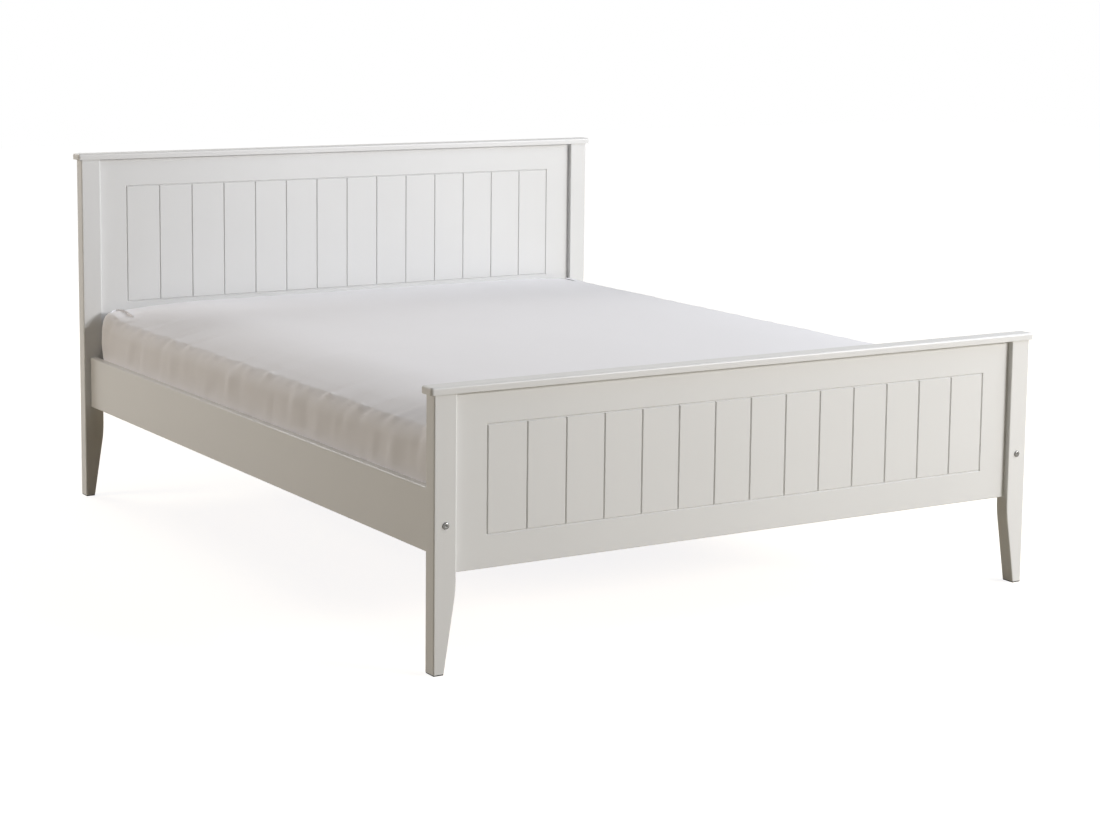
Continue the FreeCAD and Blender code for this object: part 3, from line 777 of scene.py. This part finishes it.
def turned(radius, height, hexagon, flats):
    """Closed turned shape about +Z: rings of the given radii and heights between two poles. Where hexagon is
    1 the ring follows a hexagon, whose radius at an angle is half its width over flats divided by the
    cosine of the angle from the middle of the nearest side."""
    angle = np.arange(TURN_STEPS) * 2 * np.pi / TURN_STEPS
    sixth = np.pi / 3
    six_sided = flats / 2 / np.cos((angle + sixth / 2) % sixth - sixth / 2)
    reach = radius[:, None] * (1 - hexagon[:, None]) + hexagon[:, None] * six_sided
    rings = np.stack([reach * np.cos(angle), reach * np.sin(angle),
                      np.broadcast_to(height[:, None], reach.shape)], axis=-1)
    poles = np.array([[0, 0, height[0]], [0, 0, height[-1]]])
    numbers = ring_numbers(len(radius), TURN_STEPS)
    quads = grid_quads(numbers)
    start, end = numbers[0], numbers[-1]
    low_pole, high_pole = numbers.max() + 1, numbers.max() + 2
    fans = np.concatenate([
        np.stack([np.full(TURN_STEPS, low_pole), start[1:], start[:-1]], -1),
        np.stack([np.full(TURN_STEPS, high_pole), end[:-1], end[1:]], -1)])
    return np.concatenate([rings.reshape(-1, 3), poles]), quads, fans


def repeated(shape, places, axes):
    """Copies of a shape about +Z, moved to places with its +Z along the axes, as one set of arrays."""
    points, quads, triangles = shape
    out = np.asarray(axes, float)
    side = np.cross(out, np.where(np.abs(out[:, 2:]) > 0.5, (1.0, 0, 0), (0, 0, 1.0)))
    turns = np.stack([side, np.cross(out, side), out], axis=-1)
    copies = np.einsum("kij,nj->kni", turns, points) + np.asarray(places)[:, None]
    offset = np.arange(len(copies))[:, None, None] * len(points)
    return copies, (quads + offset).reshape(-1, 4), (triangles + offset).reshape(-1, 3)


def rail_bolts():
    """Button-head bolts with a hexagon socket, one in each post, and their shanks."""
    low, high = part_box("rail_bolts")
    rail_low, rail_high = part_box("side_rail_right")
    head_radius, shank_radius, flats = 8 * MM, 3 * MM, 5 * MM
    rim, crown, lip = 0.7 * MM, 3.2 * MM, 3.3 * MM
    shank, point, socket_depth, chamfer, pit = 76 * MM, 0.6 * MM, 2.4 * MM, 0.3 * MM, 0.2 * MM
    dome = np.linspace(0, np.pi / 2, 9)[:-1]
    radius = np.concatenate([[shank_radius - point, shank_radius, shank_radius, head_radius],
                             lip + (head_radius - lip) * np.cos(dome), [lip, 0, 0, pit]])
    height = np.concatenate([[-shank, point - shank, 0, 0], rim + (crown - rim) * np.sin(dome),
                             [crown, crown - chamfer, crown - socket_depth, crown - socket_depth - chamfer]])
    hexagon = np.concatenate([np.zeros(len(radius) - 3), [1.0, 1.0, 0.0]])
    x = (rail_low.x + rail_high.x) / 2
    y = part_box("head_post_right")[1].y
    z = (low.z + high.z) / 2
    ends = [(side, end) for side in (-1, 1) for end in (-1, 1)]
    places = [(side * x, end * y, z) for side, end in ends]
    axes = [(0, end, 0) for _, end in ends]
    points, quads, triangles = repeated(turned(radius, height, hexagon, flats), places, axes)
    piece = add_piece("rail_bolts_turned", points, quads, triangles)
    return dress(piece, "zinc_steel", "frame", "rail_bolts")


rail_bolts()


# Floor, light and camera


def seen_directly(tree):
    """Socket that is 1 for what the camera sees, also in gloss and through glass, and 0 for stray light."""
    ray = add(tree, "LightPath").outputs
    seen = add(tree, "Math", {0: ray["Is Camera Ray"], 1: ray["Is Glossy Ray"]}, operation="MAXIMUM")
    seen = add(tree, "Math", {0: seen.outputs[0], 1: ray["Is Transmission Ray"]}, operation="MAXIMUM")
    return seen.outputs[0]


def studio_floor():
    """Plain pale floor that keeps a light shadow of the bed. It shows white to the camera by a glow, which is
    a little weaker near the bed and goes over to pure white away from it."""
    material, tree = new_material("pale_floor")
    pale = add(tree, "BsdfDiffuse", {"Color": linear("#BAB19A")})
    place = add(tree, "TexCoord").outputs["Object"]
    off = add(tree, "VectorMath", {0: place}, operation="LENGTH")
    away = add(tree, "MapRange", {"Value": off.outputs["Value"], "From Min": 1.2, "From Max": 3.0},
               interpolation_type="SMOOTHSTEP")
    glow = add(tree, "Mix", {0: away.outputs["Result"], 6: linear("#EDEEF1"), 7: linear("#FFFFFF")},
               data_type="RGBA")
    light = add(tree, "Emission", {"Color": glow.outputs[2], "Strength": 1.0})
    white = add(tree, "AddShader", {0: pale.outputs[0], 1: light.outputs[0]})
    shown = add(tree, "MixShader", {0: seen_directly(tree), 1: pale.outputs[0], 2: white.outputs[0]})
    add(tree, "OutputMaterial", {"Surface": shown.outputs[0]})
    reach = 14.0
    corners = np.array([[-1, -1, 0], [1, -1, 0], [1, 1, 0], [-1, 1, 0]]) * reach
    floor = add_piece("floor", corners, np.array([[0, 1, 2, 3]]), smooth=False)
    floor.data.materials.append(material)


def studio_world():
    """White to the camera and in reflections, and nearly dark otherwise."""
    world = bpy.data.worlds.new("studio")
    world.use_nodes = True
    tree = world.node_tree
    tree.nodes.clear()
    room = add(tree, "Background", {"Color": linear("#FFFFFF"), "Strength": 0.02})
    white = add(tree, "Background", {"Color": (1, 1, 1, 1), "Strength": 1.0})
    shown = add(tree, "MixShader", {0: seen_directly(tree), 1: room.outputs[0], 2: white.outputs[0]})
    add(tree, "OutputWorld", {"Surface": shown.outputs[0]})
    bpy.context.scene.world = world


BED_MIDDLE = Vector((0, 0, 0.5))


def softbox(name, bearing, height, distance, size, watts, colour="#FFFFFF"):
    """Rectangular studio lamp that faces the bed's middle. The bearing is in degrees from the foot end
    towards the right, the height in degrees above the floor, the distance and the size in metres."""
    across, up = math.radians(bearing), math.radians(height)
    toward = Vector((math.sin(across) * math.cos(up), -math.cos(across) * math.cos(up), math.sin(up)))
    lamp = bpy.data.lights.new(name, "AREA")
    lamp.shape = "RECTANGLE"
    lamp.size, lamp.size_y = size
    lamp.energy = watts
    lamp.color = linear(colour)[:3]
    holder = bpy.data.objects.new(name, lamp)
    holder.location = BED_MIDDLE + toward * distance
    holder.rotation_euler = toward.to_track_quat("Z", "Y").to_euler()
    bpy.context.scene.collection.objects.link(holder)


studio_floor()
studio_world()
softbox("key", 65, 30, 5.0, (3.2, 2.6), 124, "#EFF6FF")
softbox("front", 35, 15, 8.0, (3.0, 1.2), 421, "#FFFDFD")
softbox("left", -112, 18, 6.5, (2.0, 1.6), 109, "#FFF3E5")
softbox("back", -163, 32, 5.0, (2.0, 1.6), 46)
softbox("top", 0, 89, 3.5, (2.5, 2.5), 18.5, "#FFF5E4")

# The camera was found by fitting a pinhole camera to edges in the photograph.
IMAGE_WIDTH, IMAGE_HEIGHT = 1100, 824            # the photograph's size in pixels
FOCAL_PIXELS = 2413.0
MIDDLE_ROW = 302.0               # picture row of the camera's axis, above the picture's middle
CAMERA_PLACE = (-3.284, -5.466, 1.509)
HEADING, TILT, ROLL = math.radians(31.69), math.radians(-7.80), math.radians(0.611)


def photographer():
    """Camera where the photograph was taken from: a heading from +Y towards +X, a downward tilt and a
    small roll, with the picture shifted down from the camera's axis."""
    lens = bpy.data.cameras.new("camera")
    lens.sensor_fit = "HORIZONTAL"
    lens.sensor_width = 36.0
    lens.lens = lens.sensor_width * FOCAL_PIXELS / IMAGE_WIDTH
    lens.shift_y = (MIDDLE_ROW - IMAGE_HEIGHT / 2) / IMAGE_WIDTH
    camera = bpy.data.objects.new("camera", lens)
    aim = Matrix.Rotation(-HEADING, 4, "Z") @ Matrix.Rotation(math.pi / 2 + TILT, 4, "X")
    camera.matrix_world = Matrix.Translation(CAMERA_PLACE) @ aim @ Matrix.Rotation(ROLL, 4, "Z")
    bpy.context.scene.collection.objects.link(camera)
    bpy.context.scene.camera = camera


photographer()
bpy.context.scene.view_settings.view_transform = "Standard"
